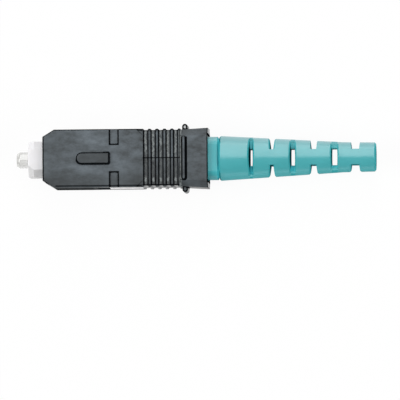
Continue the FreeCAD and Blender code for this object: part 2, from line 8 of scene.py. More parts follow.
import bmesh
import bpy
from bpy.props import FloatProperty, FloatVectorProperty, PointerProperty
from mathutils import Matrix, Vector


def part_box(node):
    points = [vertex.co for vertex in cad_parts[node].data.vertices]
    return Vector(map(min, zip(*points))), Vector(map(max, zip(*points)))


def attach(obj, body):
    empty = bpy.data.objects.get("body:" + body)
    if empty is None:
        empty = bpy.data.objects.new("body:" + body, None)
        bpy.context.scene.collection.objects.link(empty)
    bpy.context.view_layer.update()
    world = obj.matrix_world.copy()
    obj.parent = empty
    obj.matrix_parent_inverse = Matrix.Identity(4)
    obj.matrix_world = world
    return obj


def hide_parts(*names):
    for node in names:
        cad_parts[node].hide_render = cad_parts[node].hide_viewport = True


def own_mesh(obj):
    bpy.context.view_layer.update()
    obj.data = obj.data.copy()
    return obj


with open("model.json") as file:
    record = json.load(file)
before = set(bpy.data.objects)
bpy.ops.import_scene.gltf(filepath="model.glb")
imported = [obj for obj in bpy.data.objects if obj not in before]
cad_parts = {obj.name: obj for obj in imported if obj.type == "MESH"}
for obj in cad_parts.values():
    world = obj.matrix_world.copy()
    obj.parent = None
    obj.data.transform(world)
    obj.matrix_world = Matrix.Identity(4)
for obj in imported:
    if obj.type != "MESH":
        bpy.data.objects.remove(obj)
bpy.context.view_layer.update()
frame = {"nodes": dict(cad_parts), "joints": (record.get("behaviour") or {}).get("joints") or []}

bl_info = {
    "name": "Fibre Connector Finish",
    "version": (1, 0, 0),
    "blender": (4, 5, 0),
    "location": "View3D > Sidebar > Connector",
    # The moulding marks in this description are mostly painted shade lines.
    "description": "Finishes, moulding marks, studio and camera for a push-pull fibre connector",
    "category": "Object",
}

MM = 0.001
HOUSING_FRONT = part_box("outer_housing")[0].x
FERRULE_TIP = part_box("ferrule")[0].x
AXIS_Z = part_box("boot")[0].z / 2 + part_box("boot")[1].z / 2


def from_front(millimetres):
    """A place along the fibre, measured from the housing's front face."""
    return HOUSING_FRONT + millimetres * MM


# The housing: half its height and width, then its places from front to back.
BROAD_HALF = AXIS_Z
SIDE_HALF = 4.475 * MM
RIM_BACK = from_front(0.16)
TAPER_BACK = from_front(1.8)
KEY_BACK = from_front(10.3)
NOTCH_MIDDLE = from_front(11.0)
NOTCH_HALF = 0.7 * MM
NOTCH_REACH = 2.4 * MM
GRIP_FRONT = from_front(15.45)
FIRST_GROOVE = from_front(15.92)
GROOVE_PITCH = 1.15 * MM
STEP_FRONT = from_front(20.98)
COLLAR_FRONT = from_front(21.2)
BAR_MIDDLE = from_front(21.73)
BAR_HALF_SPAN = 3.05 * MM
EAR_MIDDLE = from_front(21.86)
EAR_HALF_SPAN = SIDE_HALF + 0.35 * MM
HOUSING_BACK = from_front(25.4)

# The boot: the groove behind its neck, its tapered tail, and the slots in its broad faces.
NECK_GROOVE = (from_front(26.82), from_front(27.12))
TAIL_FRONT = from_front(27.1)
TAIL_RADIUS = 3.45 * MM
TAIL_TAPER = 1.125 / 19.0
SLOT_MIDDLES = (from_front(32.0), from_front(38.4), from_front(44.8))
SLOT_FLOORS = (0.38 * MM, 0.6 * MM, 0.82 * MM)
WEB_HALF = 1.27 * MM

# The studio: each lamp's place and size, the floor and the camera's aim.
LAMPS = {
    "left": (Vector((-1.6, -0.3, 1.3)), (1.4, 1.4)),
    "right": (Vector((1.7, -0.45, 1.2)), (1.4, 1.4)),
    "strip": (Vector((0.0, 1.4, 1.4)), (0.9, 3.8)),
}
FLOOR_HALF = 30.0
FLOOR_GAP = 0.01 * MM
CAMERA_TARGET = Vector((0.5 * MM, -6.37 * MM, AXIS_Z))
CAMERA_FIELD = 61.5 * MM
LEAN_TO_BOOT = radians(3.3)
LEAN_TO_SIDE = radians(3.2)
CAMERA_ROLL = radians(-0.36)


def colour(name, description, default):
    return FloatVectorProperty(name=name, description=description, subtype="COLOR", size=3,
                               min=0.0, max=1.0, default=default)


def share(name, description, default):
    return FloatProperty(name=name, description=description, subtype="FACTOR",
                         min=0.0, max=1.0, default=default)


def length(name, description, default):
    return FloatProperty(name=name, description=description, subtype="DISTANCE", unit="LENGTH",
                         min=0.0, default=default, precision=5)


def strength(name, description, default):
    return FloatProperty(name=name, description=description, min=0.0, default=default)


class HousingLook(bpy.types.PropertyGroup):
    # The light and dark tones are mixed by a random cloud and also by painted light and shade:
    # painted sheen on the front part and beside the key, painted shade on the sides, the ends and
    # towards the near edge; the key's top is darker too.
    light: colour("Light tone", "Charcoal where the moulding looks pale", (0.16, 0.192, 0.218))
    dark: colour("Dark tone", "Charcoal where the moulding looks deep", (0.026, 0.03, 0.031))
    # The crease colour is near-black painted shade: in corners, along edges, round the bar, ears
    # and notches and on the grip's groove walls; it also draws the parting line.
    crease: colour("Creases", "Colour in corners and along edges", (0.003, 0.004, 0.005))
    # The groove floor colour is a painted highlight, streaked along the grip's grooves.
    groove: colour("Groove floors", "Colour of the polished floors of the grip grooves",
                   (0.26, 0.285, 0.285))
    # The upper ear's pale tone is a painted highlight on its top.
    ear_highlight: colour("Worn ear", "Pale tone where fingers have polished the upper ear",
                 (0.55, 0.57, 0.57))
    roughness: share("Roughness", "Gloss of the satin moulding", 0.4)
    seam_width: length("Seam width", "Width of the mould's parting line across the grip", 0.2 * MM)


class FrameLook(bpy.types.PropertyGroup):
    body: colour("Body", "White of the plug frame", (0.87, 0.86, 0.875))
    # The shade colour is painted shade in the plug frame's corners and on its nose's near side, and
    # also a faint random tint all over.
    shade: colour("Shade", "Tint in the plug frame's corners", (0.55, 0.56, 0.55))
    roughness: share("Roughness", "Gloss of the white moulding", 0.4)


class FerruleLook(bpy.types.PropertyGroup):
    body: colour("Body", "White of the ceramic", (0.77, 0.77, 0.75))
    band: colour("Bands", "Tone of the fine grinding marks", (0.71, 0.71, 0.69))
    # The pale side colour is painted light on the ceramic's near flank.
    pale: colour("Pale side", "White of the ceramic's near flank", (0.95, 0.95, 0.93))
    # The tip colour is painted shade on the ground chamfer at the tip.
    tip: colour("Tip", "Tone of the ground chamfer at the ferrule's tip", (0.65, 0.65, 0.63))
    roughness: share("Roughness", "Gloss of the ground ceramic", 0.22)


class BootLook(bpy.types.PropertyGroup):
    light: colour("Light tone", "Aqua where the moulding looks pale", (0.06, 0.43, 0.465))
    dark: colour("Dark tone", "Aqua where the moulding looks deep", (0.048, 0.4, 0.43))
    # The crease and hollow colours are painted shade on the slots' walls: near-black next to the
    # bore, dark aqua on the outer walls.
    crease: colour("Creases", "Colour of the slots' walls next to the bore", (0.001, 0.03, 0.04))
    hollow: colour("Hollows", "Colour of the slots' outer walls", (0.006, 0.28, 0.33))
    # The web colour is painted light: it brightens the webs deep in the slots, where shade falls,
    # and the neck's groove; a little of it also lightens the neck.
    web: colour("Webs", "Colour of the thin webs in the slots and behind the neck",
                (0.1, 0.8, 0.92))
    # The lit web colour is painted light on the webs of the slots' far half.
    lit: colour("Lit webs", "Colour of the webs on the side that the light comes through",
                (0.3, 0.95, 0.99))
    # The bloom colour is a painted sheen on the boot's far flank.
    far_flank_sheen: colour("Bloom", "Colour of the pale film on the boot's far flank", (0.95, 0.96, 1.0))
    roughness: share("Roughness", "Gloss of the soft moulding", 0.24)


class MetalLook(bpy.types.PropertyGroup):
    nickel: colour("Nickel", "Plating of the flange, post and sleeve", (0.62, 0.6, 0.56))
    steel: colour("Steel", "Drawn wire of the spring", (0.55, 0.55, 0.56))
    tube: colour("Guide tube", "Natural plastic of the fibre's guide tube", (0.74, 0.74, 0.7))
    roughness: share("Roughness", "Gloss of the metals", 0.3)


class StageLook(bpy.types.PropertyGroup):
    floor: colour("Floor", "Colour of the floor", (0.95, 0.95, 0.95))
    shadow: share("Shadow", "How much of the shadow the white floor keeps", 0.06)
    fill: strength("Fill", "Strength of the even light from all sides", 0.2)
    left: strength("Left lamp", "Brightness of the lamp beyond the ferrule", 4.5)
    right: strength("Right lamp", "Brightness of the lamp beyond the boot", 3.3)
    strip: strength("Strip lamp", "Brightness of the long lamp from overhead to the far side", 2.1)
    distance: length("Camera distance", "From the camera to the point that it looks at", 1.5)


LOOKS = {
    "connector_housing": HousingLook,
    "connector_frame": FrameLook,
    "connector_ferrule": FerruleLook,
    "connector_boot": BootLook,
    "connector_metal": MetalLook,
    "connector_stage": StageLook,
}


class Wire:
    """An output socket of a finish; arithmetic on it adds Math nodes."""

    def __init__(self, finish, socket):
        self.finish = finish
        self.socket = socket

    def math(self, operation, other=0.0):
        return self.finish.node("Math", {"operation": operation}, {0: self, 1: other})

    def __add__(self, other):
        return self.math("ADD", other)

    def __sub__(self, other):
        return self.math("SUBTRACT", other)

    def __mul__(self, other):
        return self.math("MULTIPLY", other)

    def __rsub__(self, other):
        return self.finish.node("Math", {"operation": "SUBTRACT"}, {0: other, 1: self})

    __radd__ = __add__
    __rmul__ = __mul__

    def __abs__(self):
        return self.math("ABSOLUTE")

    def above(self, low, high):
        """0 below the low value, 1 above the high one, smooth between; reversed if low > high."""
        settings = {"interpolation_type": "SMOOTHSTEP"}
        sockets = {"Value": self, "From Min": low, "From Max": high}
        return self.finish.node("MapRange", settings, sockets)


class Finish:
    """A material under construction."""

    def __init__(self, name):
        self.material = bpy.data.materials.new(name)
        self.material.use_nodes = True
        self.tree = self.material.node_tree
        self.shader = self.tree.nodes["Principled BSDF"]

    def node(self, kind, settings, sockets, output=0):
        """Add a node: settings first, then the values or links of its sockets."""
        made = self.tree.nodes.new(f"ShaderNode{kind}")
        for name, setting in settings.items():
            setattr(made, name, setting)
        for name, content in sockets.items():
            self.feed(made.inputs[name], content)
        return Wire(self, made.outputs[output])

    def feed(self, socket, content):
        if isinstance(content, Wire):
            self.tree.links.new(content.socket, socket)
        elif socket.type == "RGBA":
            socket.default_value = (*content, 1.0)
        else:
            socket.default_value = content

    def shade(self, **sockets):
        """Set or link the surface shader's sockets, named with _ for each space."""
        for name, content in sockets.items():
            self.feed(self.shader.inputs[name.replace("_", " ")], content)

    def place(self):
        return self.node("TexCoord", {}, {}, "Object")

    def facing(self):
        return self.node("NewGeometry", {}, {}, "Normal")

    def components(self, vector):
        """A vector's parts along the fibre, across the housing and up."""
        split = self.node("SeparateXYZ", {}, {"Vector": vector}).socket.node
        return [Wire(self, split.outputs[axis]) for axis in "XYZ"]

    def noise(self, vector, scale, detail=2.0, roughness=0.5):
        sockets = {"Vector": vector, "Scale": scale, "Detail": detail, "Roughness": roughness}
        return self.node("TexNoise", {}, sockets, "Fac")

    def streaks(self, vector, scales, detail, roughness=0.5):
        """Noise with a scale of its own along each axis."""
        stretched = self.node("Mapping", {}, {"Vector": vector, "Scale": scales})
        return self.noise(stretched, 1.0, detail, roughness)

    def mix(self, factor, first, second):
        return self.node("Mix", {"data_type": "RGBA"}, {0: factor, 6: first, 7: second}, 2)

    def crevice(self, reach):
        """1 in tight corners, 0 in the open."""
        return 1.0 - self.node("AmbientOcclusion", {"samples": 8}, {"Distance": reach}, "AO")

    def rounded(self, radius):
        """The surface normal with its edges rounded off."""
        return self.node("Bevel", {"samples": 6}, {"Radius": radius})

    def edge(self, radius):
        """Above 0 close to an edge, 0 on the open face."""
        flat = self.node("NewGeometry", {}, {}, "True Normal")
        sockets = {0: self.rounded(radius), 1: flat}
        return 1.0 - self.node("VectorMath", {"operation": "DOT_PRODUCT"}, sockets, "Value")

    def bump(self, height, amount, depth, normal=None):
        sockets = {"Height": height, "Strength": amount, "Distance": depth}
        if normal:
            sockets["Normal"] = normal
        return self.node("Bump", {}, sockets)


def dress(node, finish):
    """Give a node of the frame its finish."""
    frame["nodes"][node].material_slots[0].material = finish.material


def between(wire, low, high, soft):
    """1 between two values, with soft ends."""
    return wire.above(low, low + soft) * wire.above(high, high - soft)


def from_bar(along, across, middle, half_span):
    """Squared distance from the middle line of a bar that lies across the housing."""
    past = (abs(across) - half_span).math("MAXIMUM", 0.0)
    beside = along - middle
    return beside * beside + past * past


def squared(millimetres):
    return (millimetres * MM) ** 2


class HousingZones:
    """Where a point of the housing lies, which way its face points, and the zones it is in."""

    def __init__(self, finish):
        self.place = finish.place()
        self.along, self.across, up = finish.components(self.place)
        self.backward, sideways, upward = finish.components(finish.facing())
        self.facing_along = abs(self.backward)
        self.facing_up = abs(upward)
        self.depth = BROAD_HALF - abs(up - AXIS_Z)
        self.broad = self.facing_up.above(0.3, 0.5)
        self.sides = abs(sideways).above(0.8, 0.98)
        self.low_side = up.above(AXIS_Z + 2.4 * MM, AXIS_Z + 1.4 * MM)
        self.grip = between(self.along, GRIP_FRONT - 0.1 * MM, COLLAR_FRONT - 0.05 * MM, 0.1 * MM)
        self.near_grip = self.grip * self.across.above(0.6 * MM, -0.6 * MM)
        self.step = between(self.along, STEP_FRONT, COLLAR_FRONT + 0.2 * MM, 0.05 * MM)
        self.collar = self.along.above(COLLAR_FRONT + 0.2 * MM, COLLAR_FRONT + 0.4 * MM)
        self.from_ear = from_bar(self.along, self.across, EAR_MIDDLE, EAR_HALF_SPAN)
        level = self.facing_up.above(0.9, 0.97)
        sunk = between(self.depth, 0.22 * MM, 0.4 * MM, 0.03 * MM)
        self.floors = self.grip * level * sunk + self.step


def outline(zones):
    """Painted shade lines along the housing's ends and long edges, and a painted shadow in its
    mouth beside the boot's neck.
    """
    along, across = zones.along, zones.across
    mouth_front = HOUSING_BACK - 0.1 * MM
    ends = zones.broad * (1.0 - between(along, RIM_BACK, mouth_front, 0.1 * MM))
    near_edge = across.above(-SIDE_HALF + 0.7 * MM, -SIDE_HALF + 0.5 * MM)
    rims = zones.depth.above(0.3 * MM, 0.22 * MM) * between(zones.facing_up, 0.1, 0.98, 0.08)
    rims = rims * (1.0 - zones.grip - zones.collar) * (1.0 - 0.95 * near_edge)
    # A painted shade line drawn 0.26 mm inside the near long edge, on the face rather than at the
    # edge.
    inset = abs(across + (SIDE_HALF - 0.26 * MM)).above(0.14 * MM, 0.07 * MM)
    inset = inset * between(along, TAPER_BACK + 0.1 * MM, GRIP_FRONT - 0.05 * MM, 0.2 * MM)
    inset = zones.broad * inset
    # Painted shadow on the rear face, in the gap round the boot's neck.
    mouth = along.above(mouth_front, mouth_front + 0.05 * MM) * zones.facing_along.above(0.8, 0.95)
    mouth = mouth * between(abs(across), 3.3 * MM, 3.85 * MM, 0.1 * MM)
    return ends + rims + 0.66 * inset + mouth


def grip_lines(look, zones, near_end):
    """Painted shade on the walls and ends of the grip's grooves, a painted shade line across each
    front corner of the grip, and a dark parting line across the grip.
    """
    along, across = zones.along, zones.across
    broad_grip = zones.grip * zones.broad
    walls = zones.grip * zones.facing_along.above(0.25, 0.6)
    walls = walls * (1.0 - 0.7 * across.above(-SIDE_HALF + 0.35 * MM, -SIDE_HALF + 0.25 * MM))
    closing = broad_grip * abs(across).above(SIDE_HALF - 0.45 * MM, SIDE_HALF - 0.4 * MM)
    far_half = between(across, 0.0, SIDE_HALF - 0.15 * MM, 0.1 * MM)
    closing = closing * (1.0 - near_end) * (0.8 - 0.45 * far_half)
    # A painted shade line across each front corner of the grip.
    cut = abs(along + abs(across) - (GRIP_FRONT + 3.47 * MM)).above(0.14 * MM, 0.07 * MM)
    cut = zones.broad * cut * along.above(GRIP_FRONT - 0.05 * MM, GRIP_FRONT - 0.1 * MM)
    seam = broad_grip * abs(across).above(0.6 * look.seam_width, 0.3 * look.seam_width)
    return walls + closing + 0.45 * cut + 0.8 * seam


def fitting_lines(zones):
    """Painted shade lines round the stop bar, the ears and the notches in the broad faces."""
    along, across = zones.along, zones.across
    shaded = from_bar(along, across, BAR_MIDDLE + 0.06 * MM, BAR_HALF_SPAN)
    crest = from_bar(along, across, BAR_MIDDLE - 0.03 * MM, BAR_HALF_SPAN)
    bar = shaded.above(squared(0.5), squared(0.44)) * crest.above(squared(0.13), squared(0.2))
    bar = bar * across.above(3.35 * MM, 3.15 * MM)
    ear = zones.from_ear.above(squared(0.13), squared(0.24))
    ear = ear * abs(across).above(SIDE_HALF, SIDE_HALF + 0.1 * MM)
    notch = abs(along - NOTCH_MIDDLE) - NOTCH_HALF
    notch = notch.math("MAXIMUM", SIDE_HALF - NOTCH_REACH - abs(across))
    notch = abs(notch).above(0.13 * MM, 0.08 * MM)
    return zones.broad * (bar + ear + 0.6 * notch)


def shade_and_seam_lines(finish, look, zones):
    """1 where painted shade makes the moulding nearly black: along edges, in corners and on groove
    walls; also on the parting line.
    """
    along, across = zones.along, zones.across
    key_foot = between(zones.depth, -0.1 * MM, 0.1 * MM, 0.05 * MM)
    key_foot = key_foot * abs(across).above(1.5 * MM, 1.3 * MM) * across.above(-0.6 * MM, 0.2 * MM)
    key_foot = key_foot * along.above(KEY_BACK - 0.2 * MM, KEY_BACK - 0.4 * MM)
    key_foot = key_foot * (1.0 - 0.7 * along.above(KEY_BACK - 1.1 * MM, KEY_BACK - 0.9 * MM))
    # Painted shade in tight corners.
    corners = finish.crevice(0.3 * MM).above(0.08, 0.3)
    corners = corners * (1.0 - zones.floors) * (1.0 - zones.step) * (1.0 - key_foot)
    fold = between(abs(across), SIDE_HALF - 1.4 * MM, SIDE_HALF - 0.2 * MM, 0.1 * MM)
    # Painted shade along edges.
    edges = finish.edge(0.16 * MM).above(0.012, 0.14)
    edges = edges * (1.0 - zones.step) * (1.0 - zones.collar * fold)
    near_end = across.above(-SIDE_HALF + 0.25 * MM, -SIDE_HALF + 0.2 * MM)
    total = outline(zones) + grip_lines(look, zones, near_end) + fitting_lines(zones)
    total = total + corners + edges
    return total.above(0.05, 0.9) * (1.0 - 0.85 * zones.grip * near_end)


def charcoal_tone(finish, zones, speck):
    """How pale the charcoal is: cloudy at random, with painted sheen on the front part and beside
    the key, painted shade on the sides, their lower part, the ends, the near edge, the grip's near
    half and the collar's bevels, and darker on the key's top.
    """
    along, across = zones.along, zones.across
    cloud = finish.streaks(zones.place, (170.0, 300.0, 300.0), 4.0, 0.6).above(0.3, 0.72)
    patch = finish.streaks(zones.place, (560.0, 1000.0, 850.0), 4.0, 0.65).above(0.3, 0.7)
    # Painted sheen: the front part of the broad faces, a patch beside the key and a fainter one
    # below it.
    pale = between(along, from_front(2.0), from_front(15.0), 5.0 * MM)
    painted_sheen = between(along, from_front(5.0), KEY_BACK - 0.5 * MM, 2.0 * MM)
    painted_sheen = painted_sheen * between(across, 1.4 * MM, 4.2 * MM, 1.2 * MM)
    beside_key = between(along, from_front(3.5), KEY_BACK - 0.5 * MM, 1.5 * MM)
    beside_key = beside_key * between(across, -2.6 * MM, -0.9 * MM, 0.5 * MM)
    tone = 0.32 * cloud + 0.38 * patch + 0.12 * speck
    tone = tone + 0.14 * pale + 0.14 * painted_sheen + 0.08 * beside_key

    # The key's top is darker; the rest below is painted shade: the sides and their lower part, the
    # near edge, the grip's near half, the collar's bevels and the ends.
    key = zones.depth.above(-0.4 * MM, -0.5 * MM)
    near_edge = across.above(-1.0 * MM, -3.9 * MM)
    near_edge = near_edge * along.above(COLLAR_FRONT + 0.1 * MM, COLLAR_FRONT - 0.1 * MM)
    near_half = across.above(1.0 * MM, -1.2 * MM)
    front = along.above(from_front(6.0), from_front(2.5))
    before_grip = along.above(from_front(11.5), from_front(14.8))
    before_grip = before_grip * along.above(GRIP_FRONT + 0.05 * MM, GRIP_FRONT - 0.05 * MM)
    bevel = along.above(COLLAR_FRONT + 0.1 * MM, COLLAR_FRONT + 0.3 * MM)
    bevel = bevel * zones.facing_up.above(0.95, 0.8)
    tone = tone * (1.0 - zones.sides * (0.3 + 0.65 * zones.low_side)) * (1.0 - 0.7 * key)
    tone = tone * (1.0 - 0.55 * near_edge) * (1.0 - 0.3 * zones.near_grip) * (1.0 - 0.25 * bevel)
    ends = front * (0.2 + 0.15 * near_edge) + near_half * (0.35 * before_grip + 0.32 * zones.collar)
    return tone * (1.0 - ends)


def groove_highlight(finish, zones):
    """How bright the painted highlight on the groove floors is: a streaky core, with a brighter
    spot towards the near end.
    """
    streak = finish.streaks(zones.place, (2500.0, 1800.0, 1500.0), 4.0, 0.6).above(0.32, 0.62)
    wobble = finish.streaks(zones.place, (700.0, 2200.0, 400.0), 4.0, 0.65) - 0.5
    # A painted highlight spot towards the near end of the groove floors.
    spot = between(zones.across, -3.75 * MM, -2.95 * MM, 0.25 * MM)
    pitches = (zones.along - (FIRST_GROOVE - GROOVE_PITCH / 2)) * (1.0 / GROOVE_PITCH)
    phase = pitches.math("FRACT") + 0.5 * wobble
    core = abs(phase - 0.46).above(0.18, 0.06).math("MAXIMUM", zones.step)
    streaky = (0.1 + streak) * (1.0 - 0.7 * zones.near_grip) * (1.0 - spot)
    return core * (streaky + 1.1 * spot)


def charcoal_plastic(look):
    """Satin charcoal moulding: cloudy tone, painted shade lines, painted highlights on the groove
    floors and the upper ear, matt sides.
    """
    finish = Finish("charcoal_plastic")
    zones = HousingZones(finish)
    line = shade_and_seam_lines(finish, look, zones)
    speck = finish.noise(zones.place, 2600.0)
    wave = finish.noise(zones.place, 700.0)
    body = finish.mix(charcoal_tone(finish, zones, speck), look.dark, look.light)
    # Painted shade on the groove floors, then a painted highlight streaked over them.
    body = finish.mix(0.5 * zones.floors * (1.0 - zones.step), body, look.dark)
    body = finish.mix(zones.floors * groove_highlight(finish, zones), body, look.groove)
    # Painted highlight on the top of the upper ear.
    ear_highlight = zones.from_ear.above(squared(0.19), squared(0.09)) * zones.facing_up
    ear_highlight = ear_highlight * zones.across.above(SIDE_HALF, SIDE_HALF + 0.1 * MM)
    body = finish.mix(ear_highlight, body, look.ear_highlight)
    rear = zones.collar * zones.backward.above(0.8, 0.95)
    front_sides = zones.sides * zones.along.above(from_front(9.6), from_front(7.4))
    gloss = 0.7 + 0.3 * zones.grip * zones.sides + 0.3 * rear
    gloss = gloss - front_sides * (0.5 + 0.2 * zones.low_side)
    finish.shade(
        Base_Color=finish.mix(line, body, look.crease),
        Roughness=look.roughness + 0.2 * (speck - 0.5),
        Normal=finish.bump(wave + 0.12 * speck, 0.5, 0.05 * MM, finish.rounded(0.14 * MM)),
        Specular_IOR_Level=0.0,
        Coat_Weight=gloss * (1.0 - line),
        Coat_Roughness=0.3,
    )
    return finish


def white_plastic(look):
    """White moulding with painted shade in its corners and on the near side of its nose."""
    finish = Finish("white_plastic")
    place = finish.place()
    along = finish.components(place)[0]
    sideways = finish.components(finish.facing())[1]
    cloud = finish.noise(place, 420.0, 3.0)
    # Painted shade: in tight corners, and on the faces of the nose that turn to the near side.
    corner = finish.crevice(0.8 * MM).above(0.2, 0.95)
    near_side = sideways.above(-0.25, -0.6) * along.above(from_front(0.2), HOUSING_FRONT)
    tint = finish.mix(0.12 * cloud.above(0.35, 0.75), look.body, look.shade)
    finish.shade(
        Base_Color=finish.mix(0.5 * corner + 0.4 * near_side, tint, look.shade),
        Roughness=look.roughness + 0.12 * (cloud - 0.5),
        Normal=finish.bump(finish.noise(place, 5200.0), 0.06, 0.01 * MM, finish.rounded(0.12 * MM)),
        Subsurface_Weight=0.15,
        Subsurface_Radius=(1.0, 0.95, 0.9),
        Subsurface_Scale=0.4 * MM,
    )
    return finish


def ground_ceramic(look):
    """Polished ceramic with fine grinding marks round its barrel, painted light on its near flank,
    and a ground chamfer at its tip darkened by painted shade.
    """
    finish = Finish("ground_ceramic")
    place = finish.place()
    along, across, _ = finish.components(place)
    marks = finish.streaks(place, (16000.0, 300.0, 300.0), 3.0)
    # Painted light: the near flank is paler. Painted shade: the chamfer at the tip is darker.
    near_flank = across.above(0.1 * MM, -0.4 * MM)
    chamfer = along.above(FERRULE_TIP + 0.6 * MM, FERRULE_TIP + 0.5 * MM)
    tone = finish.mix(marks.above(0.35, 0.7), look.body, look.band)
    tone = finish.mix(0.8 * near_flank, tone, look.pale)
    finish.shade(
        Base_Color=finish.mix(chamfer, tone, look.tip),
        Roughness=look.roughness + 0.1 * (marks - 0.5),
        Normal=finish.bump(marks, 0.05, 0.004 * MM, finish.rounded(0.06 * MM)),
        Coat_Weight=0.9,
        Coat_Roughness=0.1,
        Coat_IOR=2.0,
    )
    return finish


def slot_webs(along, rise):
    """1 on the thin webs in the slots of the boot's broad faces."""
    webs = 0.0
    for middle, floor in zip(SLOT_MIDDLES, SLOT_FLOORS):
        half = floor / 2 + 0.1 * MM
        webs = webs + between(along, middle - half, middle + half, 0.1 * MM)
    return webs * abs(rise).above(WEB_HALF + 0.1 * MM, WEB_HALF - 0.1 * MM)


def aqua_rubber(look):
    """Soft aqua moulding with a silky skin, a painted sheen on its far flank, painted light on its
    webs, neck and neck groove, and painted shade on its slots' walls.
    """
    finish = Finish("aqua_rubber")
    place = finish.place()
    along, across, up = finish.components(place)
    backward, sideways, _ = finish.components(finish.facing())
    rise = up - AXIS_Z
    radius = (across * across + rise * rise).math("SQRT")
    skin_radius = TAIL_RADIUS - TAIL_TAPER * (along - TAIL_FRONT)
    tail = along.above(TAIL_FRONT - 0.1 * MM, TAIL_FRONT + 0.2 * MM)
    inside = tail * (skin_radius - radius).above(0.15 * MM, 0.4 * MM)
    webs = slot_webs(along, rise)
    neck_groove = between(along, *NECK_GROOVE, 0.03 * MM)
    wall = abs(backward).above(0.3, 0.8)
    rim = abs(sideways).above(0.2, 0.7)
    far_flank = sideways.above(0.45, 0.95)
    near_flank = sideways.above(-0.6, -0.95)

    cloud = finish.noise(place, 190.0, 3.0, 0.55).above(0.3, 0.7)
    grain = finish.noise(place, 5600.0)
    deep = finish.crevice(0.8 * MM).above(0.05, 0.6)
    skin = finish.mix(cloud, look.dark, look.light)
    # Painted light on the webs deep in the slots, where shade falls.
    skin = finish.mix(inside * deep, skin, look.web)
    # Painted sheen on the far flank.
    skin = finish.mix(0.14 * (1.0 - inside) * far_flank, skin, look.far_flank_sheen)
    # Painted light in the neck's groove, and a lighter neck.
    skin = finish.mix(0.2 * neck_groove + 0.1 * (1.0 - tail), skin, look.web)
    # Painted light on the webs towards the far flank.
    skin = finish.mix(inside * webs * across.above(0.3 * MM, 1.2 * MM), skin, look.lit)
    # Painted shade on the slots' walls: near-black next to the bore, dark aqua further out.
    hollow = finish.mix(abs(across).above(1.8 * MM, 1.35 * MM), look.hollow, look.crease)
    gloss = (1.0 - 0.75 * near_flank) * (0.5 + 0.5 * tail + 0.5 * rim * (1.0 - tail))
    finish.shade(
        Base_Color=finish.mix(0.9 * inside * wall, skin, hollow),
        Roughness=look.roughness + 0.12 * (grain - 0.5),
        Normal=finish.bump(grain, 0.12, 0.015 * MM, finish.rounded(0.1 * MM)),
        Specular_IOR_Level=0.0,
        Coat_Weight=gloss * (1.0 - inside) * (1.0 - webs) * (1.0 - wall) * (1.0 - neck_groove),
        Coat_Roughness=0.3,
        Coat_IOR=2.0,
    )
    return finish


def drawn_metal(name, tone, roughness):
    """Bright metal with fine turning marks."""
    finish = Finish(name)
    marks = finish.streaks(finish.place(), (9000.0, 700.0, 700.0), 3.0)
    dull = tuple(0.72 * part for part in tone)
    finish.shade(
        Base_Color=finish.mix(marks.above(0.3, 0.75), dull, tone),
        Metallic=1.0,
        Roughness=roughness + 0.2 * (marks - 0.5),
        Normal=finish.bump(marks, 0.08, 0.006 * MM),
    )
    return finish


def natural_tube(tone, roughness):
    """Milky guide tube."""
    finish = Finish("natural_tube")
    cloud = finish.noise(finish.place(), 900.0)
    dull = tuple(0.85 * part for part in tone)
    finish.shade(
        Base_Color=finish.mix(cloud, dull, tone),
        Roughness=roughness + 0.1 * (cloud - 0.5),
    )
    return finish


class FinishHousing(bpy.types.Operator):
    """Give the sliding housing its charcoal moulding"""
    bl_idname = "connector.finish_housing"
    bl_label = "Finish housing"

    def execute(self, context):
        dress("outer_housing", charcoal_plastic(context.scene.connector_housing))
        return {"FINISHED"}


class FinishFrame(bpy.types.Operator):
    """Give the plug frame its white moulding"""
    bl_idname = "connector.finish_frame"
    bl_label = "Finish plug frame"

    def execute(self, context):
        dress("plug_frame", white_plastic(context.scene.connector_frame))
        return {"FINISHED"}


class FinishFerrule(bpy.types.Operator):
    """Give the ferrule its ground ceramic"""
    bl_idname = "connector.finish_ferrule"
    bl_label = "Finish ferrule"

    def execute(self, context):
        dress("ferrule", ground_ceramic(context.scene.connector_ferrule))
        return {"FINISHED"}


class FinishBoot(bpy.types.Operator):
    """Give the strain relief boot its aqua moulding"""
    bl_idname = "connector.finish_boot"
    bl_label = "Finish boot"

    def execute(self, context):
        dress("boot", aqua_rubber(context.scene.connector_boot))
        return {"FINISHED"}


def joined_copy(node, name):
    """A new piece with the shape of a node of the frame, its loose triangles joined."""
    mesh = bpy.data.meshes.new(name)
    shape = bmesh.new()
    shape.from_mesh(frame["nodes"][node].data)
    bmesh.ops.remove_doubles(shape, verts=shape.verts, dist=0.001 * MM)
    shape.to_mesh(mesh)
    shape.free()
    mesh.shade_smooth()
    piece = bpy.data.objects.new(name, mesh)
    bpy.context.scene.collection.objects.link(piece)
    return piece


class MakeSpring(bpy.types.Operator):
    """Make the coil spring from the frame's spring and attach it to the plug body"""
    bl_idname = "connector.make_spring"
    bl_label = "Make spring"

    def execute(self, context):
        look = context.scene.connector_metal
        low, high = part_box("spring")
        floats = next(joint for joint in frame["joints"] if joint["name"] == "ferrule_float")
        steel = drawn_metal("spring_wire", look.steel, look.roughness)
        spring = joined_copy("spring", "coil_spring")
        spring.data.materials.clear()
        spring.data.materials.append(steel.material)
        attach(spring, "plug_body")
        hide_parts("spring")
        1.0 - floats["range_m"][1] / (high.x - low.x)
        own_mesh(spring)
        return {"FINISHED"}


class FinishInside(bpy.types.Operator):
    """Give the metal pieces and the guide tube inside their finishes"""
    bl_idname = "connector.finish_inside"
    bl_label = "Finish inner pieces"

    def execute(self, context):
        look = context.scene.connector_metal
        nickel = drawn_metal("nickel_plate", look.nickel, look.roughness)
        for node in ("ferrule_flange", "back_post", "crimp_sleeve"):
            dress(node, nickel)
        dress("buffer_tube", natural_tube(look.tube, look.roughness))
        return {"FINISHED"}


